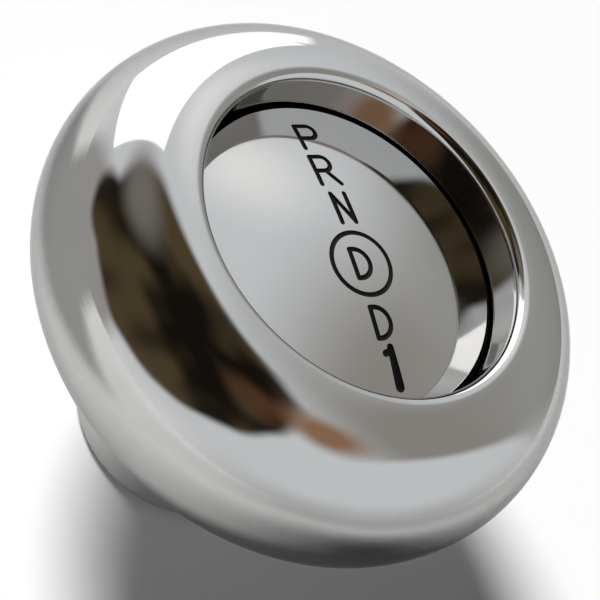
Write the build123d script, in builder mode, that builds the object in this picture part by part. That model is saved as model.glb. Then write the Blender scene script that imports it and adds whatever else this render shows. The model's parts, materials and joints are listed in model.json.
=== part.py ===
from build123d import *

import os

# A turned and polished gear shift knob: a thick rounded ring with a recess in its top for a legend disc, on a short
# neck that screws on to the lever. The knob's axis is +Z, the origin is the centre of the neck's flat end, and the
# legend reads upright towards +Y, the front of the car. Sizes are in millimetres.

# Ring, a full half-round from the recess's rim to the underside
knob_diameter = 54.0

# Recess in the top
recess_diameter = 32.1
rim_break = 0.65            # chamfer between the ring and the recess wall

# Neck
neck_diameter = 24.0
neck_length = 18.8          # from its end up to the ring's underside
neck_root_rise = 3.9        # height of the cone that joins the neck to the ring
neck_edge_chamfer = 0.8

# Bore for the lever, at the nominal diameter of a 3/8 inch thread
lever_thread_diameter = 9.525
lever_mouth_chamfer = 0.9

# Legend disc
disc_sink = 4.7             # from the rim down to the edge of the disc's face
disc_rise = 1.9             # of the domed face, from its edge to its middle
disc_edge_thickness = 3.0
disc_gap = 0.35             # open gap between the disc and the recess wall

# Screw that clamps the disc from below, M3 with a socket head
web_thickness = 5.0         # metal between the screw head's seat and the recess floor
screw_diameter = 3.0
screw_engagement = 3.2
screw_tip_room = 0.3
screw_hole_clearance = 0.1  # close, because the screw centres the disc too
screw_head_diameter = 5.5
screw_head_height = 3.0
screw_pocket_clearance = 0.35   # round the head
screw_pocket_room = 0.5         # between the head and the end of the lever bore
screw_socket_width = 2.5
screw_socket_depth = 1.5

# Grub screw in the front of the neck, M5 with a socket
grub_diameter = 5.0
grub_height = 7.0           # of its axis above the neck's end
grub_tip_room = 0.12        # how far its tip stays back from the lever bore
grub_sink = 1.12            # how far its socket end lies below the neck's surface
grub_socket_width = 2.5
grub_socket_depth = 2.4

thread_clearance = 0.05     # between a screw and the wall of its tapped hole

# Radii
knob_radius = knob_diameter / 2
recess_radius = recess_diameter / 2
crest_radius = recess_radius + rim_break
ring_section_radius = knob_radius - crest_radius
neck_radius = neck_diameter / 2
lever_bore_radius = lever_thread_diameter / 2
disc_radius = recess_radius - disc_gap
dome_radius = (disc_radius**2 + disc_rise**2) / (2 * disc_rise)
screw_radius = screw_diameter / 2
screw_hole_radius = screw_radius + screw_hole_clearance
screw_tap_radius = screw_radius + thread_clearance
screw_head_radius = screw_head_diameter / 2
screw_pocket_radius = screw_head_radius + screw_pocket_clearance
grub_radius = grub_diameter / 2
grub_hole_radius = grub_radius + thread_clearance

# Heights above the neck's end
neck_root_height = neck_length - neck_root_rise
equator_height = neck_length + ring_section_radius
rim_height = equator_height + ring_section_radius
disc_edge_height = rim_height - disc_sink
disc_top_height = disc_edge_height + disc_rise
recess_floor_height = disc_edge_height - disc_edge_thickness
screw_seat_height = recess_floor_height - web_thickness
screw_head_end_height = screw_seat_height - screw_head_height
lever_bore_end_height = screw_head_end_height - screw_pocket_room
screw_tip_height = recess_floor_height + screw_engagement
screw_tap_end_height = screw_tip_height + screw_tip_room

os.makedirs("parts", exist_ok=True)

# Knob body: everything but the grub screw's hole is turned on one axis
with BuildPart() as knob_body:
    with BuildSketch(Plane.XZ) as body_section:
        with BuildLine() as body_outline:
            Polyline(
                (lever_bore_radius + lever_mouth_chamfer, 0),
                (neck_radius - neck_edge_chamfer, 0),
                (neck_radius, neck_edge_chamfer),
                (neck_radius, neck_root_height),
                (crest_radius, neck_length),
            )
            CenterArc((crest_radius, equator_height), ring_section_radius, -90, 180)
            Polyline(
                (crest_radius, rim_height),
                (recess_radius, rim_height - rim_break),
                (recess_radius, recess_floor_height),
                (screw_hole_radius, recess_floor_height),
                (screw_hole_radius, screw_seat_height),
                (screw_pocket_radius, screw_seat_height),
                (screw_pocket_radius, lever_bore_end_height),
                (lever_bore_radius, lever_bore_end_height),
                (lever_bore_radius, lever_mouth_chamfer),
                (lever_bore_radius + lever_mouth_chamfer, 0),
            )
        make_face()
    revolve(axis=Axis.Z)
    with BuildSketch(Plane.XZ.offset(-neck_radius)) as grub_hole:
        with Locations((0, grub_height)):
            Circle(grub_hole_radius)
    extrude(amount=neck_radius, mode=Mode.SUBTRACT)
knob_body.part.label = "knob_body"
export_step(knob_body.part, "parts/knob_body.step")

# Legend disc: a plate with a gently domed face and a tapped hole in its back
with BuildPart() as legend_disc:
    with BuildSketch(Plane.XY.offset(recess_floor_height)) as disc_round:
        Circle(disc_radius)
    extrude(amount=disc_top_height - recess_floor_height)
    with Locations((0, 0, disc_top_height - dome_radius)):
        Sphere(dome_radius, rotation=(0, 90, 0), mode=Mode.INTERSECT)
    with BuildSketch(Plane.XY.offset(recess_floor_height)) as screw_tap:
        Circle(screw_tap_radius)
    extrude(amount=screw_tap_end_height - recess_floor_height, mode=Mode.SUBTRACT)
legend_disc.part.label = "legend_disc"
export_step(legend_disc.part, "parts/legend_disc.step")

# Disc screw: its head seats in a pocket beyond the end of the lever bore
with BuildPart() as disc_screw:
    with BuildSketch(Plane.XY.offset(screw_head_end_height)) as head_round:
        Circle(screw_head_radius)
    extrude(amount=screw_head_height)
    with BuildSketch(Plane.XY.offset(screw_seat_height)) as shank_round:
        Circle(screw_radius)
    extrude(amount=screw_tip_height - screw_seat_height)
    with BuildSketch(Plane.XY.offset(screw_head_end_height)) as head_socket:
        RegularPolygon(screw_socket_width / 2, 6, major_radius=False)
    extrude(amount=screw_socket_depth, mode=Mode.SUBTRACT)
disc_screw.part.label = "disc_screw"
export_step(disc_screw.part, "parts/disc_screw.step")

# Grub screw: it lies inside the neck's wall, just clear of the lever bore
grub_outer_end = neck_radius - grub_sink
grub_length = grub_outer_end - lever_bore_radius - grub_tip_room
with BuildPart() as neck_grub_screw:
    with BuildSketch(Plane.XZ.offset(-grub_outer_end)) as grub_round:
        with Locations((0, grub_height)):
            Circle(grub_radius)
    extrude(amount=grub_length)
    with BuildSketch(Plane.XZ.offset(-grub_outer_end)) as grub_socket:
        with Locations((0, grub_height)):
            RegularPolygon(grub_socket_width / 2, 6, major_radius=False)
    extrude(amount=grub_socket_depth, mode=Mode.SUBTRACT)
neck_grub_screw.part.label = "neck_grub_screw"
export_step(neck_grub_screw.part, "parts/neck_grub_screw.step")
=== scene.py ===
# %% [markdown]
# # A polished gear shift knob
#
# The knob is turned from one piece of steel: a thick round ring on a short neck, with a recess in its top. A domed
# legend plate lies in the recess, one screw clamps it from below, and a grub screw in the neck stops the knob turning
# on its lever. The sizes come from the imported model, so everything here is in metres and already in its place.

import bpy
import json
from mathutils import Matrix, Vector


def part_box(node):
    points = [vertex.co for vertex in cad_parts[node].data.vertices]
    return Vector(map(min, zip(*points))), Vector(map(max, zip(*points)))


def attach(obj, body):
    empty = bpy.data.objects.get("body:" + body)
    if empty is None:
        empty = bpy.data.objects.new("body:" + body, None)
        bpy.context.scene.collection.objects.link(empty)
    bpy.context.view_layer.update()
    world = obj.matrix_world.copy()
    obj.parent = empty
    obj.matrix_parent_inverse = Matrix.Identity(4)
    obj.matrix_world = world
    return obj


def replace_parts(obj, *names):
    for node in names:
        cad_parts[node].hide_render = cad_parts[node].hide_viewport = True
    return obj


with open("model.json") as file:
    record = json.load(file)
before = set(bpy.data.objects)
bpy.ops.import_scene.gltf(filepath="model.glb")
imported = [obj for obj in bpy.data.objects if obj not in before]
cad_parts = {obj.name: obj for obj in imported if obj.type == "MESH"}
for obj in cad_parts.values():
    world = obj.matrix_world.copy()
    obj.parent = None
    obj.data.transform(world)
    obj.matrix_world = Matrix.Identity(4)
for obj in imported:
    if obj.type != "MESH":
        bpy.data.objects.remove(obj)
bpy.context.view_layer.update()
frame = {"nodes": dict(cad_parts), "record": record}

import json
import math

import bmesh
import bpy
from mathutils import Matrix, Vector

print("solids:", sorted(frame["nodes"]))

# %% [markdown]
# ## Sizes
#
# The boxes of the four solids and the lever's thread give most sizes. A box says nothing of what lies inside it, such
# as the neck or the depth of a chamfer, so those few sizes are written down where they are needed, in millimetres
# times MM.

# %% Sizes from the solids
MM = 0.001
knob_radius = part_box("knob_body")[1].x
rim_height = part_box("knob_body")[1].z
disc_low, disc_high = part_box("legend_disc")
screw_low, screw_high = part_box("disc_screw")
grub_low, grub_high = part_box("neck_grub_screw")
mounts = {mount["name"]: mount for mount in frame["record"]["mounts"]}
bore_radius = mounts["lever_thread"]["dims"]["r_mm"] * MM
bore_length = mounts["lever_thread"]["dims"]["length_mm"] * MM

disc_edge_thickness = 3.0 * MM
disc_gap = 0.35 * MM
rim_break = 0.65 * MM

recess_floor = disc_low.z
disc_radius = disc_high.x
disc_top = disc_high.z
disc_edge = recess_floor + disc_edge_thickness
dome_rise = disc_top - disc_edge
dome_radius = (disc_radius**2 + dome_rise**2) / (2 * dome_rise)
dome_centre = Vector((0, 0, disc_top - dome_radius))
recess_radius = disc_radius + disc_gap
crest_radius = recess_radius + rim_break
ring_section = knob_radius - crest_radius
equator = rim_height - ring_section
print(f"ring {knob_radius / MM:.2f} mm in radius, dome {dome_radius / MM:.1f} mm in radius")

# %% [markdown]
# ## Helpers for turned pieces
#
# A lathe makes a round piece from a profile, and bmesh can do the same: draw half of the section as a chain of edges,
# round its corners with a vertex bevel, and spin the chain once about the axis. The spin leaves a seam unless it is
# told to merge, and the faces may point inwards, so every piece is merged and has its normals recalculated at the end.


# %% Draw, round and spin a section
def chain(bm, start, corners):
    """Draws edges from a vertex through corners, each a radius and a height, and returns the last one."""
    for radius, height in corners:
        corner = bm.verts.new((radius, 0, height))
        bm.edges.new((start, corner))
        start = corner
    return start


def arc(bm, start, centre, axis, angle, steps):
    """Draws an arc from a vertex, and returns its last one."""
    spun = bmesh.ops.spin(bm, geom=[start], cent=centre, axis=axis, angle=angle, steps=steps)
    return next(item for item in spun["geom_last"] if isinstance(item, bmesh.types.BMVert))


def soften(bm, corners, size, segments=4):
    """Rounds corners of a drawn section, found by their radius and height."""
    found = [min(bm.verts, key=lambda vert: (vert.co - Vector((radius, 0, height))).length)
             for radius, height in corners]
    bmesh.ops.bevel(bm, geom=found, offset=size, offset_type="OFFSET", affect="VERTICES",
                    segments=segments, profile=0.5, material=-1)


def spin_round(bm, steps):
    """Spins the drawn section once about the knob's axis."""
    bmesh.ops.spin(bm, geom=bm.verts[:] + bm.edges[:], cent=(0, 0, 0), axis=(0, 0, 1),
                   angle=math.tau, steps=steps, use_merge=True, use_duplicate=False)


DOUBLE = 0.0005 * MM


def clean(bm, merge=True):
    """Merges doubles, unless told not to, and turns the faces outwards."""
    if merge:
        bmesh.ops.remove_doubles(bm, verts=bm.verts, dist=DOUBLE)
    bmesh.ops.recalc_face_normals(bm, faces=bm.faces)


# %% [markdown]
# A mesh is only data until an object carries it, so one helper makes the mesh, one puts an object in the scene, and a
# third does both with smooth shading. Holes are cut with the Boolean modifier. Its exact solver copes with a cutter
# that crosses itself, and the result is baked at once, so that no live modifier is left on a piece.

# %% Make objects and cut them
SHARP = math.radians(30)


def mesh_of(bm, name):
    """Turns a bmesh into a mesh."""
    mesh = bpy.data.meshes.new(name)
    bm.to_mesh(mesh)
    bm.free()
    return mesh


def put(name, data):
    """Makes an object of a mesh, a lamp or a camera, and puts it in the scene."""
    made = bpy.data.objects.new(name, data)
    bpy.context.scene.collection.objects.link(made)
    return made


def finished(name, bm, *finishes, merge=True):
    """Makes a bmesh an object with smooth faces and crisp edges."""
    clean(bm, merge)
    open_edges = sum(not edge.is_manifold for edge in bm.edges)
    mesh = mesh_of(bm, name)
    for finish in finishes:
        mesh.materials.append(finish)
    mesh.shade_smooth()
    mesh.set_sharp_from_angle(angle=SHARP)
    print(f"{name}: {len(mesh.polygons)} faces, {open_edges} open edges")
    return put(name, mesh)


def cut(piece, cutter):
    """Takes the cutter's shape out of the piece, and bakes the result into the piece's mesh."""
    tool = piece.modifiers.new("cut", "BOOLEAN")
    tool.object = cutter
    tool.operation = "DIFFERENCE"
    tool.solver = "EXACT"
    tool.use_self = True
    tool.material_mode = "TRANSFER"
    evaluated = piece.evaluated_get(bpy.context.evaluated_depsgraph_get())
    old, piece.data = piece.data, bpy.data.meshes.new_from_object(evaluated)
    piece.modifiers.clear()
    piece.data.name = piece.name
    bpy.data.meshes.remove(old)
    bpy.data.objects.remove(cutter)
    piece.data.set_sharp_from_angle(angle=SHARP)
    print(f"{piece.name} after the cut: {len(piece.data.polygons)} faces")


# %% [markdown]
# ## Helpers for materials
#
# A node tree in code is easier to follow when adding a node and wiring it is one call. An input may be a number, a
# colour or another node's socket, and the helper sets it or links it.


# %% Add and wire nodes
def place(tree, kind, inputs=None, **settings):
    """Adds a shader node, with its settings and its inputs by name or number."""
    node = tree.nodes.new("ShaderNode" + kind)
    for key, value in settings.items():
        setattr(node, key, value)
    for key, value in (inputs or {}).items():
        if isinstance(value, bpy.types.NodeSocket):
            tree.links.new(value, node.inputs[key])
        else:
            node.inputs[key].default_value = value
    return node


def calc(tree, operation, *values):
    """One step of arithmetic."""
    return place(tree, "Math", dict(enumerate(values)), operation=operation).outputs[0]


def ramp(tree, value, low, high, to_low=0.0, to_high=1.0):
    """Maps a value between two limits smoothly on to two others."""
    inputs = {"Value": value, "From Min": low, "From Max": high, "To Min": to_low, "To Max": to_high}
    return place(tree, "MapRange", inputs, interpolation_type="SMOOTHSTEP").outputs[0]


def blend(tree, factor, first, second):
    """Mixes two colours."""
    mix = place(tree, "Mix", {"Factor": factor, "A": first, "B": second}, data_type="RGBA")
    return mix.outputs["Result"]


def vector(tree, operation, *values):
    """One step of arithmetic with vectors."""
    return place(tree, "VectorMath", dict(enumerate(values)), operation=operation).outputs["Vector"]


def round_axis(tree, position):
    """Flat part of a position, its distance from the knob's axis, and its height."""
    flat = vector(tree, "MULTIPLY", position, (1, 1, 0))
    radius = place(tree, "VectorMath", {0: flat}, operation="LENGTH").outputs["Value"]
    height = place(tree, "SeparateXYZ", {0: position}).outputs["Z"]
    return flat, radius, height


# %% Start node groups and materials
def node_group(name, inputs, outputs):
    """Starts a node group with named sockets, and returns it with its two ends."""
    group = bpy.data.node_groups.new(name, "ShaderNodeTree")
    for label, kind in inputs.items():
        group.interface.new_socket(label, in_out="INPUT", socket_type="NodeSocket" + kind)
    for label, kind in outputs.items():
        group.interface.new_socket(label, in_out="OUTPUT", socket_type="NodeSocket" + kind)
    return group, group.nodes.new("NodeGroupInput").outputs, group.nodes.new("NodeGroupOutput").inputs


def use(tree, group, **inputs):
    """Places a node group in a tree, and returns its outputs."""
    return place(tree, "Group", inputs, node_tree=group).outputs


def new_material(name):
    """Starts a material, and returns it with its tree, its shader and the Object coordinates."""
    material = bpy.data.materials.new(name)
    material.use_nodes = True
    tree = material.node_tree
    shader = tree.nodes["Principled BSDF"]
    return material, tree, shader, place(tree, "TexCoord").outputs["Object"]


# %% [markdown]
# ## Polish marks
#
# A knob is polished while it spins, so its last fine scratches run round the axis. Scratches from a plain noise would
# be round blots. Here the noise has four dimensions: the direction round the axis changes it slowly, and the radius
# and the height change it fast, so it draws thin rings on every face of the piece and has no seam.

# %% Group for polish marks
polish_marks, given, result = node_group("Polish marks", {"Position": "Vector", "Fineness": "Float"},
                                         {"Marks": "Float"})
flat, radius, height = round_axis(polish_marks, given["Position"])
around = vector(polish_marks, "NORMALIZE", flat)
outwards = place(polish_marks, "CombineXYZ", {"Z": calc(polish_marks, "MULTIPLY", radius, given["Fineness"])})
spread = place(polish_marks, "VectorMath", {0: around, "Scale": 2.5}, operation="SCALE").outputs["Vector"]
rings = place(polish_marks, "TexNoise", {
    "Vector": vector(polish_marks, "ADD", spread, outwards.outputs[0]),
    "W": calc(polish_marks, "MULTIPLY", height, given["Fineness"]),
    "Scale": 1.0,
    "Detail": 3.0,
}, noise_dimensions="4D")
polish_marks.links.new(rings.outputs[0], result["Marks"])
print("group:", polish_marks.name)

# %% [markdown]
# ## Haze from handling
#
# A hand leaves a thin film on polished metal, which shows where it makes the mirror a little duller. The same roughness
# everywhere would look like a coat of varnish, so this group puts out a soft, patchy mask: large patches of one noise,
# broken up into smears by a finer one. The materials use it for their roughness.

# %% Group for haze
haze, given, result = node_group("Handling haze", {"Position": "Vector"}, {"Haze": "Float"})
patches = place(haze, "TexNoise", {
    "Vector": given["Position"], "Scale": 70.0, "Detail": 4.0, "Roughness": 0.6,
}).outputs[0]
smears = place(haze, "TexNoise", {
    "Vector": given["Position"], "Scale": 900.0, "Detail": 2.0, "Distortion": 0.8,
}).outputs[0]
soft = ramp(haze, patches, 0.42, 0.72)
haze.links.new(calc(haze, "MULTIPLY", soft, smears), result["Haze"])
print("group:", haze.name)

# %% [markdown]
# ## Painted shade in the gap
#
# The thin gap round the legend plate is deep and narrow and lies in shade, so it shows as a black line. Here that
# shade is painted: the wall and the plate's edge are coloured black there, rougher and not metallic. Both need the same
# painted shade, so one group makes its mask from the radius and the height: everything between the recess floor and
# the plate's upper edge.

# %% Group for the gap's painted shade
ragged_edge = 0.12 * MM
margin = 0.1 * MM
# The mask says where shade is painted black in the gap round the plate.
gap_painted_shade, given, result = node_group("Gap painted shade", {"Position": "Vector", "Top": "Float"}, {"Painted_shade": "Float"})
_, radius, height = round_axis(gap_painted_shade, given["Position"])
grain = place(gap_painted_shade, "TexNoise", {"Vector": given["Position"], "Scale": 1500.0, "Detail": 2.0}).outputs[0]
rough_top = calc(gap_painted_shade, "MULTIPLY_ADD", grain, ragged_edge, given["Top"])
below = calc(gap_painted_shade, "LESS_THAN", height, rough_top)
above = calc(gap_painted_shade, "GREATER_THAN", height, recess_floor - margin)
inside = calc(gap_painted_shade, "LESS_THAN", radius, recess_radius + margin)
between = calc(gap_painted_shade, "MULTIPLY", below, above)
gap_painted_shade.links.new(calc(gap_painted_shade, "MULTIPLY", between, inside), result["Painted_shade"])
print("group:", gap_painted_shade.name)

# %% [markdown]
# ## Polished steel
#
# Mirror steel is metal with a low roughness. Even so it isn't one flat value: the polish marks make it a little rougher
# in rings, the haze duller in patches, and the hand on the buffing wheel leaves the surface very slightly wavy. Seen at
# a flat angle any metal turns into a white mirror, and its outline would be lost on a white table: a grey Specular Tint
# holds that back. The body and the plate are polished alike and differ only a little in tint.

# %% Material of polished steel
# Height up to which shade is painted black in the gap round the plate.
painted_shade_top = disc_edge - 0.3 * MM
bare_roughness = 0.03
marks_add = 0.03
film_adds = 0.10
gap_roughness_adds = 0.6
film_tints = 0.35
film_colour = (0.50, 0.49, 0.47, 1)
# Black that is painted as shade in the gap round the plate.
painted_shade_colour = (0.006, 0.005, 0.004, 1)


def polished_steel(name, tint):
    """Mirror steel with polish marks, haze, faint waves and painted shade in the gap."""
    material, tree, shader, position = new_material(name)
    marks = use(tree, polish_marks, Position=position, Fineness=9000.0)["Marks"]
    film = use(tree, haze, Position=position)["Haze"]
    gap_shade_mask = use(tree, gap_painted_shade, Position=position, Top=painted_shade_top)["Painted_shade"]
    wave = place(tree, "TexNoise", {"Vector": position, "Scale": 90.0, "Detail": 1.0}).outputs[0]
    shade = blend(tree, calc(tree, "MULTIPLY", film, film_tints), tint, film_colour)
    # Painted shade: in the gap round the plate the steel is coloured black, made not metallic and made rougher.
    tree.links.new(blend(tree, gap_shade_mask, shade, painted_shade_colour), shader.inputs["Base Color"])
    tree.links.new(calc(tree, "SUBTRACT", 1.0, gap_shade_mask), shader.inputs["Metallic"])
    gloss = calc(tree, "MULTIPLY_ADD", film, film_adds, bare_roughness)
    gloss = calc(tree, "MULTIPLY_ADD", marks, marks_add, gloss)
    tree.links.new(calc(tree, "MULTIPLY_ADD", gap_shade_mask, gap_roughness_adds, gloss), shader.inputs["Roughness"])
    waves = place(tree, "Bump", {"Height": wave, "Strength": 1.0, "Distance": 0.006 * MM})
    lines = place(tree, "Bump", {"Height": marks, "Strength": 0.6, "Distance": 0.0002 * MM,
                                 "Normal": waves.outputs[0]})
    tree.links.new(lines.outputs[0], shader.inputs["Normal"])
    shader.inputs["Specular Tint"].default_value = (0.6, 0.6, 0.6, 1)
    return material


body_steel = polished_steel("polished_body_steel", (0.615, 0.61, 0.60, 1))
plate_steel = polished_steel("polished_plate_steel", (0.635, 0.63, 0.62, 1))
print("polished:", body_steel.name, plate_steel.name)

# %% [markdown]
# ## Machined steel
#
# Inside the bore and the screw holes nobody polishes. The metal there keeps the fine grooves of the boring bar, so it
# is rougher and its marks are wider. The same group of polish marks draws them with a lower fineness, and here they
# change the colour too, because a groove shades itself.

# %% Material of machined steel
groove_shade = 0.55


def machined_steel(name, tint, fineness):
    """Rougher steel with the grooves of a cutting tool."""
    material, tree, shader, position = new_material(name)
    shader.inputs["Metallic"].default_value = 1.0
    marks = use(tree, polish_marks, Position=position, Fineness=fineness)["Marks"]
    film = use(tree, haze, Position=position)["Haze"]
    dark = tuple(groove_shade * channel for channel in tint[:3]) + (1,)
    tree.links.new(blend(tree, marks, tint, dark), shader.inputs["Base Color"])
    tree.links.new(calc(tree, "MULTIPLY_ADD", film, 0.25, 0.28), shader.inputs["Roughness"])
    grooves = place(tree, "Bump", {"Height": marks, "Strength": 0.5, "Distance": 0.004 * MM})
    tree.links.new(grooves.outputs[0], shader.inputs["Normal"])
    return material


bore_steel = machined_steel("bored_steel", (0.46, 0.45, 0.43, 1), 4000.0)
screw_steel = machined_steel("plain_screw_steel", (0.56, 0.55, 0.53, 1), 5000.0)
print("machined:", bore_steel.name, screw_steel.name)

# %% [markdown]
# ## Black finishes
#
# The legend is filled with black enamel, wiped while it was wet, so it is smooth with small pinholes. The grub screw is
# blackened in a hot salt bath: a thin, oily, blue-black skin that is rubbed brown here and there. Plain black would
# look like a hole in the metal, so a fine noise varies the colour, the gloss and the surface of each.


# %% Materials of enamel and black oxide
def black_enamel():
    """Enamel with small pinholes."""
    material, tree, shader, position = new_material("black_enamel")
    pits = place(tree, "TexNoise", {"Vector": position, "Scale": 6000.0, "Detail": 2.0}).outputs[0]
    colour = blend(tree, pits, (0.002, 0.002, 0.002, 1), (0.008, 0.008, 0.007, 1))
    tree.links.new(colour, shader.inputs["Base Color"])
    tree.links.new(ramp(tree, pits, 0.3, 0.7, 0.5, 0.65), shader.inputs["Roughness"])
    shader.inputs["Specular IOR Level"].default_value = 0.2
    dents = place(tree, "Bump", {"Height": pits, "Strength": 0.4, "Distance": 0.02 * MM})
    tree.links.new(dents.outputs[0], shader.inputs["Normal"])
    return material


def black_oxide():
    """Blackened steel, rubbed brown here and there."""
    material, tree, shader, position = new_material("black_oxide")
    shader.inputs["Metallic"].default_value = 0.8
    film = use(tree, haze, Position=position)["Haze"]
    mottle = place(tree, "TexNoise", {"Vector": position, "Scale": 2200.0, "Detail": 5.0}).outputs[0]
    rubbed = ramp(tree, mottle, 0.4, 0.75)
    colour = blend(tree, rubbed, (0.035, 0.036, 0.04, 1), (0.085, 0.07, 0.058, 1))
    tree.links.new(colour, shader.inputs["Base Color"])
    tree.links.new(calc(tree, "MULTIPLY_ADD", film, 0.2, 0.34), shader.inputs["Roughness"])
    skin = place(tree, "Bump", {"Height": mottle, "Strength": 0.3, "Distance": 0.01 * MM})
    tree.links.new(skin.outputs[0], shader.inputs["Normal"])
    return material


enamel = black_enamel()
oxide = black_oxide()
print("black:", enamel.name, oxide.name)

# %% [markdown]
# ## Knob body
#
# The ring is a half-round that runs from the rim to the underside, so one vertex spun half a turn draws it. The rest of
# the section is straight: the edge break and wall of the recess, the stepped hole for the screw, the bore for the
# lever, and the neck with its cone. Real edges are never sharp, and on a mirror a small radius shows as a bright line,
# so each corner is rounded before the section is spun. The neck's long side is divided, so that the hole that is cut
# there leaves no long, thin faces.

# %% Half section of the body
underside = rim_height - 2 * ring_section
neck_radius = 12.0 * MM
neck_root = 14.9 * MM
neck_edge = 0.8 * MM
mouth_break = 0.9 * MM
bore_end = mouth_break + bore_length
screw_head_height = 3.0 * MM
screw_seat = screw_low.z + screw_head_height
screw_hole = 1.6 * MM
screw_pocket = 3.1 * MM
rim_round = 0.4 * MM
end_round = 0.2 * MM
root_round = 0.9 * MM
underside_round = 0.35 * MM

bm = bmesh.new()
start = bm.verts.new((crest_radius, 0, underside))
crest = arc(bm, start, (crest_radius, 0, equator), axis=(0, -1, 0), angle=math.pi, steps=80)
wall_top = (recess_radius, rim_height - rim_break)
end_corners = [
    (bore_radius, mouth_break),
    (bore_radius + mouth_break, 0),
    (neck_radius - neck_edge, 0),
    (neck_radius, neck_edge),
]
root_corner = (neck_radius, neck_root)
last = chain(bm, crest, [
    wall_top,
    (recess_radius, recess_floor),
    (screw_hole, recess_floor),
    (screw_hole, screw_seat),
    (screw_pocket, screw_seat),
    (screw_pocket, bore_end),
    (bore_radius, bore_end),
    *end_corners,
    root_corner,
])
bm.edges.new((last, start))
soften(bm, [(crest_radius, rim_height), wall_top], rim_round, segments=8)
soften(bm, end_corners, end_round)
soften(bm, [root_corner], root_round, segments=6)
soften(bm, [(crest_radius, underside)], underside_round)
near = 0.1 * MM
on_neck = [edge for edge in bm.edges if all(abs(vert.co.x - neck_radius) < near for vert in edge.verts)]
neck_side = max(on_neck, key=lambda edge: edge.calc_length())
bmesh.ops.subdivide_edges(bm, edges=[neck_side], cuts=14)
print("corners of the section:", len(bm.verts))

# %% Spin the body and cut the grub screw's hole
spin_round(bm, steps=288)
for face in bm.faces:
    middle = face.calc_center_median()
    in_bore = math.hypot(middle.x, middle.y) < bore_radius + mouth_break and middle.z < recess_floor
    face.material_index = int(in_bore)
knob = finished("polished_knob", bm, body_steel, bore_steel)

grub_height = (grub_low.z + grub_high.z) / 2
thread_clearance = 0.05 * MM
grub_hole = (grub_high.x - grub_low.x) / 2 + thread_clearance
hole_start = 2 * MM
hole_end = neck_radius + 2 * MM
sink_depth = 0.5 * MM
sink_start = neck_radius - sink_depth
hair = 0.01 * MM
to_front = Matrix.Translation((0, 0, grub_height)) @ Matrix.Rotation(-math.pi / 2, 4, "X")
bm = bmesh.new()
for low, high, low_radius, high_radius in (
    (hole_start, hole_end, grub_hole, grub_hole),
    (sink_start, hole_end, grub_hole - hair, grub_hole + hole_end - sink_start),
):
    bmesh.ops.create_cone(bm, cap_ends=True, segments=64, radius1=low_radius, radius2=high_radius,
                          depth=high - low, matrix=to_front @ Matrix.Translation((0, 0, (low + high) / 2)))
cut(knob, finished("grub_hole_cutter", bm, bore_steel))
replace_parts(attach(knob, "root"), "knob_body")

# %% [markdown]
# ## Legend plate
#
# The plate's face is a shallow dome. A flat disc pushed up in its middle would have an uneven curve, and a mirror shows
# that at once, so its section starts with one vertex on the axis that is spun about the dome's centre. Its upper edge
# is just broken, and a blind hole in its back takes the screw.

# %% Turn the plate
plate_hole = 1.55 * MM
screw_tip_room = 0.3 * MM
plate_hole_end = screw_high.z + screw_tip_room
plate_round = 0.12 * MM
dome_angle = math.asin(disc_radius / dome_radius)

bm = bmesh.new()
top = bm.verts.new((0, 0, disc_top))
edge = arc(bm, top, dome_centre, axis=(0, 1, 0), angle=dome_angle, steps=24)
chain(bm, edge, [
    (disc_radius, recess_floor),
    (plate_hole, recess_floor),
    (plate_hole, plate_hole_end),
    (0, plate_hole_end),
])
soften(bm, [(disc_radius, disc_edge)], plate_round)
spin_round(bm, steps=240)
plate = finished("legend_plate", bm, plate_steel)

# %% [markdown]
# ## Legend
#
# The marks are single strokes cut by a ball-nosed engraving tool and filled with enamel: P, R, N, a circled D, D and 1,
# the gear positions. A tool of that shape leaves a half-round groove with round ends, so each stroke is a rod with a
# ball at each end, and each curve is a circle spun along an arc. The strokes are sunk to their middle in the face and
# cut away together. Each mark is drawn flat and laid on the dome where it belongs. The rods, balls and arcs stay apart
# in the cutter: merged, they would share edges between more than two faces, and the cut needs closed skins.

# %% Strokes of the engraving tool
tool_sides = 24
arc_step = 0.07


def straight(bm, start, end, width, end_width=None):
    """A straight stroke; its width may change along it."""
    start, end = Vector((*start, 0)), Vector((*end, 0))
    end_width = end_width or width
    along = end - start
    turn = along.to_track_quat("Z", "Y").to_matrix().to_4x4()
    bmesh.ops.create_cone(bm, cap_ends=True, segments=tool_sides, radius1=width / 2, radius2=end_width / 2,
                          depth=along.length, matrix=Matrix.Translation((start + end) / 2) @ turn)
    for tip, tip_width in ((start, width), (end, end_width)):
        bmesh.ops.create_uvsphere(bm, u_segments=tool_sides, v_segments=tool_sides // 2, radius=tip_width / 2,
                                  matrix=Matrix.Translation(tip))


def curved(bm, centre, radius, width, sweep=math.pi):
    """A stroke along an arc, from straight below its centre round to the right; a full turn makes a ring."""
    centre = Vector((*centre, 0))
    begin = Matrix.Translation(centre + Vector((0, -radius, 0))) @ Matrix.Rotation(math.pi / 2, 4, "Y")
    tube = bmesh.ops.create_circle(bm, cap_ends=sweep < math.tau, segments=tool_sides, radius=width / 2,
                                   matrix=begin)
    geometry = dict.fromkeys(item for vert in tube["verts"]
                             for item in (vert, *vert.link_edges, *vert.link_faces))
    bmesh.ops.spin(bm, geom=list(geometry), cent=centre, axis=(0, 0, 1), angle=sweep,
                   steps=int(sweep / arc_step), use_merge=sweep == math.tau, use_duplicate=False)


# %% Forms of the marks, in shares of their height
def bowl(bm, left, reach, low, high, width):
    """The round part of a letter: two bars and a half circle between two heights."""
    radius = (high - low) / 2
    middle = left + reach - radius
    straight(bm, (left, high), (middle, high), width)
    straight(bm, (left, low), (middle, low), width)
    curved(bm, (middle, (high + low) / 2), radius, width)


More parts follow.
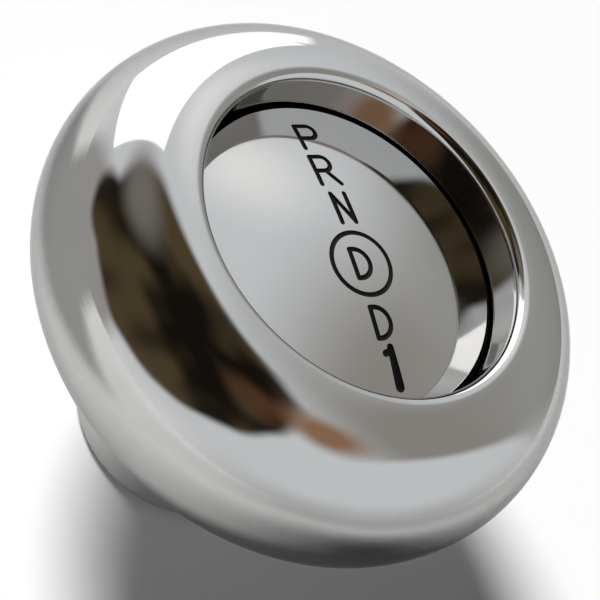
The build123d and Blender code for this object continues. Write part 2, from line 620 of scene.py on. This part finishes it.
def letter_p(bm, h, width):
    """P: a stem and a bowl that ends below the middle."""
    straight(bm, (-0.37 * h, -0.5 * h), (-0.37 * h, 0.5 * h), width)
    bowl(bm, -0.37 * h, 0.735 * h, -0.05 * h, 0.5 * h, width)


def letter_r(bm, h, width):
    """R: a stem, a smaller bowl and a leg."""
    straight(bm, (-0.36 * h, -0.5 * h), (-0.36 * h, 0.5 * h), width)
    bowl(bm, -0.36 * h, 0.6 * h, -0.02 * h, 0.5 * h, width)
    straight(bm, (-0.02 * h, -0.02 * h), (0.34 * h, -0.5 * h), width)


def letter_n(bm, h, width):
    """N: two stems and a slope."""
    straight(bm, (-0.25 * h, -0.5 * h), (-0.25 * h, 0.5 * h), width)
    straight(bm, (-0.25 * h, 0.5 * h), (0.25 * h, -0.5 * h), width)
    straight(bm, (0.25 * h, -0.5 * h), (0.25 * h, 0.5 * h), width)


def letter_d(bm, h, width):
    """D: a stem and a bowl of full height."""
    straight(bm, (-0.305 * h, -0.5 * h), (-0.305 * h, 0.5 * h), width)
    bowl(bm, -0.305 * h, 0.61 * h, -0.5 * h, 0.5 * h, width)


def figure_one(bm, h, width):
    """1: a stem that widens downwards, and a short flag."""
    straight(bm, (0, 0.5 * h), (0, -0.5 * h), width, 1.35 * width)
    straight(bm, (0, 0.42 * h), (-0.19 * h, 0.36 * h), 0.9 * width)


circle_radius = 3.1 * MM
circle_width = 0.5 * MM


def circled_d(bm, h, width):
    """D in a ring."""
    letter_d(bm, h, width)
    curved(bm, (0, 0), circle_radius, circle_width, math.tau)


# %% Engrave the legend
stroke = 0.5 * MM

# Each mark: its form, its place across and up the plate, its height and the width of its strokes
legend = (
    (letter_p, 0.2 * MM, 11.9 * MM, 2.75 * MM, stroke),
    (letter_r, 0.2 * MM, 7.95 * MM, 3.15 * MM, stroke),
    (letter_n, 0.25 * MM, 3.74 * MM, 3.1 * MM, stroke),
    (circled_d, -0.1 * MM, -2.0 * MM, 2.85 * MM, stroke),
    (letter_d, 0.05 * MM, -7.69 * MM, 2.9 * MM, stroke),
    (figure_one, 0.15 * MM, -11.8 * MM, 3.6 * MM, 0.74 * MM),
)
bm = bmesh.new()
for form, across_the_plate, up_the_plate, mark_height, width in legend:
    mark = bmesh.new()
    form(mark, mark_height, width)
    lean = math.asin(up_the_plate / dome_radius)
    on_dome = Matrix.Translation(dome_centre) @ Matrix.Rotation(-lean, 4, "X")
    mark.transform(on_dome @ Matrix.Translation((across_the_plate, 0, dome_radius)))
    placed = mesh_of(mark, "mark")
    bm.from_mesh(placed)
    bpy.data.meshes.remove(placed)
cut(plate, finished("legend_cutter", bm, enamel, merge=False))

# %% [markdown]
# Cutting leaves long, uneven faces on the dome, and on a mirror their shading would show as creases. The true normal of
# a ball is known at each point: it points away from the centre. So the corners of the faces on the dome get that
# normal, and all other corners keep their own.

# %% True normals on the dome
mesh = plate.data
close = 0.004 * MM
on_face = [abs((vert.co - dome_centre).length - dome_radius) < close for vert in mesh.vertices]
normals = [Vector(corner.vector) for corner in mesh.corner_normals]
for polygon in mesh.polygons:
    is_steel = mesh.materials[polygon.material_index] == plate_steel
    if is_steel and all(on_face[index] for index in polygon.vertices):
        for corner in polygon.loop_indices:
            normals[corner] = (mesh.vertices[mesh.loops[corner].vertex_index].co - dome_centre).normalized()
mesh.normals_split_custom_set(normals)
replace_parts(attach(plate, "root"), "legend_disc")
print("corners on the dome:", sum(on_face), "of", len(on_face))

# %% [markdown]
# ## Threads
#
# A thread is a ridge that climbs while it turns, and spin does that too: it moves its copies by a small step each time.
# The ridge is a blunt wedge that is sunk a little into the wall that carries it. Its first and last stretch fade into
# that wall, as they do where a tap or a die runs in and out.

# %% Ridge of a thread
steps_per_turn = 48
ridge_sinks = 0.02 * MM
fade_rate = 1.5
least_share = 0.06
touching = 0.001 * MM


def thread_ridge(bm, root, crest, pitch, low, high):
    """Adds a right-handed ridge between two heights, from the root radius to the crest radius."""
    foot = 0.43 * pitch
    tip = 0.07 * pitch
    sunk = root + math.copysign(ridge_sinks, root - crest)
    corners = [bm.verts.new((radius, 0, low + height)) for radius, height in
               ((sunk, 0), (sunk, 2 * foot), (crest, foot + tip), (crest, foot - tip))]
    profile = bm.faces.new(corners)
    turns = (high - low - 2 * foot) / pitch
    geometry = [*corners, *profile.edges, profile]
    bmesh.ops.spin(bm, geom=geometry, cent=(0, 0, 0), axis=(0, 0, 1), dvec=(0, 0, pitch / steps_per_turn),
                   angle=math.tau * turns, steps=int(turns * steps_per_turn),
                   use_merge=False, use_duplicate=False)
    for vert in bm.verts:
        radius = math.hypot(vert.co.x, vert.co.y)
        if abs(radius - crest) < touching and low <= vert.co.z <= high:
            climbed = (vert.co.z - low - foot) / pitch
            from_end = min(climbed, turns - climbed)
            share = min(1, max(least_share, fade_rate * from_end))
            scale = (root + (crest - root) * share) / radius
            vert.co.x *= scale
            vert.co.y *= scale


# %% Thread in the lever bore
lever_pitch = 25.4 / 16 * MM
lever_crest = bore_radius - 0.54 * lever_pitch
lever_run_out = 1.5 * MM
bm = bmesh.new()
thread_ridge(bm, bore_radius, lever_crest, lever_pitch, low=mouth_break, high=bore_end - lever_run_out)
lever_thread = finished("lever_thread", bm, bore_steel)
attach(lever_thread, "root")

# %% [markdown]
# ## Screws
#
# The screw that clamps the plate is an ordinary socket-head screw, and its head has a knurled side. It hangs head down
# in its pocket at the end of the bore. The grub screw is a headless one with a cup point. Both are turned like the
# body. Knurls could be cut one by one, but it is quicker to move the vertices of the head's side in and out with the
# cosine of their angle. A hexagonal key socket is a six-sided prism that is cut from each screw.


# %% Socket and knurl
def cut_socket(piece, width, depth, matrix, finish):
    """Cuts a hexagonal socket whose mouth is at the matrix's origin and which runs along its +Z."""
    bm = bmesh.new()
    corner_radius = width / 2 / math.cos(math.pi / 6)
    bmesh.ops.create_cone(bm, cap_ends=True, segments=6, radius1=corner_radius, radius2=corner_radius,
                          depth=2 * depth, matrix=matrix)
    cut(piece, finished("socket_cutter", bm, finish))


def knurl(bm, radius, teeth, depth):
    """Presses grooves into the faces at a radius."""
    for vert in bm.verts:
        angle = math.atan2(vert.co.y, vert.co.x)
        if abs(math.hypot(vert.co.x, vert.co.y) - radius) < hair:
            scale = 1 - depth * (0.5 - 0.5 * math.cos(teeth * angle)) / radius
            vert.co.x *= scale
            vert.co.y *= scale


# %% Disc screw
head_radius = screw_high.x
head_low, shank_tip = screw_low.z, screw_high.z
shank_root = 1.22 * MM
shank_crest = 1.5 * MM
shank_end = recess_floor - 2 * MM
thread_start = recess_floor - 1.7 * MM
tip_clear = 0.1 * MM
head_round = 0.35 * MM
tip_round = 0.25 * MM

bm = bmesh.new()
middle = bm.verts.new((0, 0, head_low))
chain(bm, middle, [
    (head_radius, head_low),
    (head_radius, screw_seat),
    (shank_crest, screw_seat),
    (shank_crest, shank_end),
    (shank_root, thread_start),
    (shank_root, shank_tip),
    (0, shank_tip),
])
soften(bm, [(head_radius, head_low)], head_round)
soften(bm, [(head_radius, screw_seat), (shank_root, shank_tip)], tip_round)
spin_round(bm, steps=144)
knurl(bm, head_radius, teeth=36, depth=0.12 * MM)
thread_ridge(bm, shank_root, shank_crest, pitch=0.5 * MM, low=thread_start, high=shank_tip - tip_clear)
disc_screw = finished("plate_screw", bm, screw_steel)
mouth = Matrix.Translation((0, 0, head_low))
cut_socket(disc_screw, width=2.5 * MM, depth=1.5 * MM, matrix=mouth, finish=screw_steel)
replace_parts(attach(disc_screw, "root"), "disc_screw")

# %% Grub screw
grub_length = grub_high.y - grub_low.y
grub_crest = grub_hole - thread_clearance
grub_root = 2.05 * MM
grub_break = 0.3 * MM
cup_radius = 1.3 * MM
cup_depth = 0.8 * MM
thread_start = 0.4 * MM

bm = bmesh.new()
middle = bm.verts.new((0, 0, cup_depth))
chain(bm, middle, [
    (cup_radius, 0),
    (grub_root, grub_root - cup_radius),
    (grub_root, grub_length - grub_break),
    (grub_root - grub_break, grub_length),
    (0, grub_length),
])
spin_round(bm, steps=96)
thread_ridge(bm, grub_root, grub_crest, pitch=0.8 * MM, low=thread_start, high=grub_length - tip_clear)
in_neck = Matrix.Translation((0, grub_low.y, grub_height)) @ Matrix.Rotation(-math.pi / 2, 4, "X")
bm.transform(in_neck)
grub_screw = finished("grub_screw", bm, oxide)
mouth = in_neck @ Matrix.Translation((0, 0, grub_length))
cut_socket(grub_screw, width=2.5 * MM, depth=2.4 * MM, matrix=mouth, finish=oxide)
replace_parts(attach(grub_screw, "root"), "neck_grub_screw")

# %% [markdown]
# ## Floor
#
# The knob stands on a plain white table that takes its shadow. From below a table would hide the knob, so its back is
# clear: Backfacing tells the two sides apart. It is also open under the neck, where nobody sees it from above, so that
# light reaches the neck's end and the bore. One edge spun about the axis makes such a disc with a hole.

# %% Table top
table_radius = 2.0
bm = bmesh.new()
chain(bm, bm.verts.new((neck_radius - neck_edge, 0, 0)), [(table_radius, 0)])
spin_round(bm, steps=96)
clean(bm)
for face in bm.faces:
    if face.normal.z < 0:
        face.normal_flip()
floor = put("table_top", mesh_of(bm, "table_top"))
print("table top:", len(floor.data.polygons), "faces")

# %% White of the table
white_table, tree, shader, _ = new_material("white_table")
shader.inputs["Base Color"].default_value = (0.88, 0.88, 0.88, 1)
shader.inputs["Roughness"].default_value = 0.9
shader.inputs["Specular IOR Level"].default_value = 0.0
see_through = place(tree, "MixShader", {
    0: place(tree, "NewGeometry").outputs["Backfacing"],
    1: shader.outputs[0],
    2: place(tree, "BsdfTransparent").outputs[0],
})
tree.links.new(see_through.outputs[0], tree.nodes["Material Output"].inputs["Surface"])
floor.data.materials.append(white_table)
print("table:", white_table.name)

# %% [markdown]
# ## Light tent
#
# A mirror has no look of its own: it shows what stands round it. A product photographer therefore puts a shiny thing
# in a tent of white cloth, with a bright window on one side for the highlight and dark cloth on another so that the
# form reads. Here the tent is half a ball that only reflections can see. Each patch of cloth is a soft spot in some
# direction from the knob, given by its azimuth from +Y towards +X and its elevation.

# %% Soft spot on the tent
soft_spot, given, result = node_group("Soft spot", {
    "Direction": "Vector", "Centre": "Vector", "Reach": "Float", "Softness": "Float",
}, {"Mask": "Float"})
facing = place(soft_spot, "VectorMath", {0: given["Direction"], 1: given["Centre"]}, operation="DOT_PRODUCT")
away = calc(soft_spot, "ARCCOSINE", facing.outputs["Value"])
inner = calc(soft_spot, "SUBTRACT", given["Reach"], given["Softness"])
outer = calc(soft_spot, "ADD", given["Reach"], given["Softness"])
soft_spot.links.new(ramp(soft_spot, away, inner, outer, 1.0, 0.0), result["Mask"])
print("group:", soft_spot.name)


def direction(azimuth, elevation):
    """Unit vector towards an azimuth, from +Y towards +X, and an elevation, in degrees."""
    turn, rise = math.radians(azimuth), math.radians(elevation)
    return Vector((math.sin(turn) * math.cos(rise), math.cos(turn) * math.cos(rise), math.sin(rise)))


def new_glow(name):
    """Starts a material with no shader, and returns it with its tree, output and Object coordinates."""
    material, tree, shader, position = new_material(name)
    tree.nodes.remove(shader)
    return material, tree, tree.nodes["Material Output"].inputs["Surface"], position


# %% Cloth of the tent
def tent_cloth():
    """White cloth with grey, dark and brown patches that hang in folds."""
    material, tree, surface, position = new_glow("tent_cloth")
    towards = vector(tree, "NORMALIZE", position)
    hanging = vector(tree, "MULTIPLY", towards, (2.4, 2.4, 0.6))
    folds = place(tree, "TexNoise", {"Vector": hanging, "Scale": 1.0, "Detail": 1.0}).outputs[0]
    wander = calc(tree, "MULTIPLY_ADD", folds, 0.5, -0.25)

    def spot(azimuth, elevation, reach, softness, uneven=0.0):
        """Mask of a round patch, whose edge may wander with the folds."""
        size = calc(tree, "MULTIPLY_ADD", wander, uneven, math.radians(reach))
        return use(tree, soft_spot, Direction=towards, Centre=direction(azimuth, elevation), Reach=size,
                   Softness=math.radians(softness))["Mask"]

    dark_cloth = blend(tree, ramp(tree, folds, 0.38, 0.66), (0.010, 0.008, 0.006, 1), (0.095, 0.07, 0.035, 1))
    high = ramp(tree, place(tree, "SeparateXYZ", {0: towards}).outputs["Z"], 0.0, 0.3)
    # Low down towards the shade cards the cloth turns grey, so that it meets their painted shadow without a seam.
    low_white = blend(tree, spot(167, 0, 48, 30), (0.90, 0.91, 0.92, 1), (0.57, 0.575, 0.58, 1))
    white = blend(tree, high, low_white, (0.80, 0.83, 0.86, 1))

    # Each patch: its azimuth, elevation, reach and softness, and how far its edge wanders; then its colour
    patches = (
        ((110, 45, 31, 15), (0.36, 0.345, 0.32, 1)),            # grey, high on the right
        ((82, 16, 27, 12), (0.42, 0.42, 0.405, 1)),             # grey, low on the right
        ((157, 0, 48, 3), white),                               # white sheet behind, with a crisp edge
        ((30, 45, 8, 8), (1.1, 1.1, 1.1, 1)),                   # light above the window
        ((-55, 0, 32, 6), (0.43, 0.41, 0.40, 1)),               # grey, low on the left
        ((-85, 55, 43, 3, 0.3), dark_cloth),                    # dark cloth, high on the left
        ((-48, 27, 14, 3, 0.3), dark_cloth),                    # its end, which hangs lower
        ((-28, 49, 12, 8), (0.22, 0.205, 0.18, 1)),             # grey, where it ends beside the window
        ((-148, 65, 8, 6), (0.11, 0.05, 0.025, 1)),             # brown, near the top
        ((168, 62, 10, 6), (0.36, 0.20, 0.12, 1)),              # light brown, near the top
    )
    shade = white
    for lies, colour in patches:
        shade = blend(tree, spot(*lies), shade, colour)
    tree.links.new(place(tree, "Emission", {"Color": shade, "Strength": 1.0}).outputs[0], surface)
    return material


tent_radius = 0.6
bm = bmesh.new()
bmesh.ops.create_uvsphere(bm, u_segments=96, v_segments=48, radius=tent_radius)
geometry = bm.verts[:] + bm.edges[:] + bm.faces[:]
bmesh.ops.bisect_plane(bm, geom=geometry, plane_co=(0, 0, 0), plane_no=(0, 0, -1), clear_outer=True)
tent = finished("light_tent", bm, tent_cloth())

# %% [markdown]
# The window is two bright cards that stand a little inside the tent and face the knob. Their straight edges are what
# make the metal look polished. Two grey cards are to the left of the knob, one lying and one standing: they lend the
# ring a darker edge there, where it would otherwise be lost against the white table. Three dim cards lie on the table
# on the shadow's side: they are painted shadow that only reflections see, so that the ring's underside darkens little
# by little. Area lamps could be the window, but a lamp can't be darker than what lies behind it. A card keeps its own
# coordinates, from -0.5 to 0.5 across, so a fade towards its edges is easy to write.


# %% Make a card
def card(name, centre, facing, width, height, roll, glow, fade):
    """Makes a glowing card that faces one way, is rolled about it, and fades out towards its edges."""
    material, tree, surface, position = new_glow(name)
    across = place(tree, "SeparateXYZ", {0: vector(tree, "ABSOLUTE", position)}).outputs
    fade_x, fade_y = (ramp(tree, across[axis], 0.5 - fade, 0.5, 1.0, 0.0) for axis in "XY")
    faded = place(tree, "MixShader", {
        0: calc(tree, "MULTIPLY", fade_x, fade_y),
        1: place(tree, "BsdfTransparent").outputs[0],
        2: place(tree, "Emission", {"Color": (1, 1, 1, 1), "Strength": glow}).outputs[0],
    })
    tree.links.new(faded.outputs[0], surface)

    bm = bmesh.new()
    bmesh.ops.create_grid(bm, x_segments=1, y_segments=1, size=0.5)
    made = put(name, mesh_of(bm, name))
    made.data.materials.append(material)
    turn = facing.to_track_quat("Z", "Y").to_matrix().to_4x4()
    made.matrix_world = (Matrix.Translation(centre) @ turn @ Matrix.Rotation(math.radians(roll), 4, "Z")
                         @ Matrix.Diagonal((width, height, 1, 1)))
    return made


# %% Window, grey cards and painted shadow cards
to_window = direction(6.5, 18.5)
to_pane = direction(26, 3)
to_left = direction(-55, 0)
to_shade = direction(167, 0)
up = Vector((0, 0, 1))

# Each card: its name, its centre, the way it faces, its width, height and roll, its glow and the share that fades
cards = [card(*row) for row in (
    ("window_card", 0.5 * to_window + equator * up, -to_window, 0.38, 0.45, 45, 2.2, 0.03),
    ("low_window_card", 0.5 * to_pane + equator * up, -to_pane, 0.22, 0.16, 0, 2.0, 0.1),
    ("lying_grey_card", 0.095 * to_left + 0.2 * MM * up, up, 0.14, 0.12, 55, 0.42, 0.2),
    ("standing_grey_card", 0.125 * to_left, -to_left, 0.14, 0.11, 0, 0.42, 0.2),
    # The three shade cards are painted shadow on the table, seen only in reflections.
    ("far_painted_shadow_card", 0.45 * to_shade + 0.1 * MM * up, up, 0.52, 1.1, 13, 0.53, 0.34),
    ("wide_painted_shadow_card", 0.5 * to_shade + 0.05 * MM * up, up, 1.6, 0.9, 13, 0.56, 0.45),
    ("near_painted_shadow_card", 0.062 * to_shade + 0.15 * MM * up, up, 0.155, 0.19, 13, 0.06, 0.5),
)]
for screen in (tent, *cards):
    screen.visible_camera = False
    screen.visible_diffuse = False
    screen.visible_transmission = False
    screen.visible_shadow = False
print("cards:", [made.name for made in cards])

# %% [markdown]
# ## Light and background
#
# The table and the black enamel scatter light, so they need lamps. One soft lamp comes from the window's side and
# throws the shadow, and the world fills in the rest. To the camera and to mirrors the world is plain white, and to
# everything else it is dimmer, so that the shadow stays visible.

# %% World and lamp
fill = 0.12
world = bpy.data.worlds.new("white_room")
bpy.context.scene.world = world
world.use_nodes = True
tree = world.node_tree
rays = place(tree, "LightPath").outputs
seen = calc(tree, "MAXIMUM", rays["Is Camera Ray"], rays["Is Glossy Ray"])
seen = calc(tree, "MAXIMUM", seen, rays["Is Transmission Ray"])
background = tree.nodes["Background"]
background.inputs["Color"].default_value = (1, 1, 1, 1)
tree.links.new(ramp(tree, seen, 0.0, 1.0, fill, 1.0), background.inputs["Strength"])

lamp = bpy.data.lights.new("window_light", "SUN")
lamp.energy = 4.3
lamp.angle = math.radians(18)
to_lamp = direction(-21, 46)
lamp_object = put("window_light", lamp)
lamp_object.rotation_euler = to_lamp.to_track_quat("Z", "Y").to_euler()
lamp_object.visible_glossy = False
print("lamp towards", [round(value, 2) for value in to_lamp])

# %% [markdown]
# ## Camera
#
# The knob is seen from above and from its left, and the camera is rolled so that the neck points down to the left. The
# three angles and the distance come from fitting the ring, the rim and the plate's edge to the picture.

# %% Camera
azimuth, elevation, roll = (math.radians(angle) for angle in (-59.2394, 47.1597, 46.5832))
camera_offset = Vector((-1.2467, -1.5657, 139.0965)) * MM
camera_turn = (Matrix.Rotation(azimuth, 4, "Z") @ Matrix.Rotation(math.pi / 2 - elevation, 4, "X")
               @ Matrix.Rotation(roll, 4, "Z"))
camera = bpy.data.cameras.new("camera")
camera.lens = 90
camera.sensor_width = 36
camera.clip_start = 0.01
camera_object = put("camera", camera)
camera_object.matrix_world = (Matrix.Translation((0, 0, equator)) @ camera_turn
                              @ Matrix.Translation(camera_offset))
bpy.context.scene.camera = camera_object
bpy.context.scene.view_settings.view_transform = "Standard"
print("camera at", [round(value, 4) for value in camera_object.matrix_world.translation])
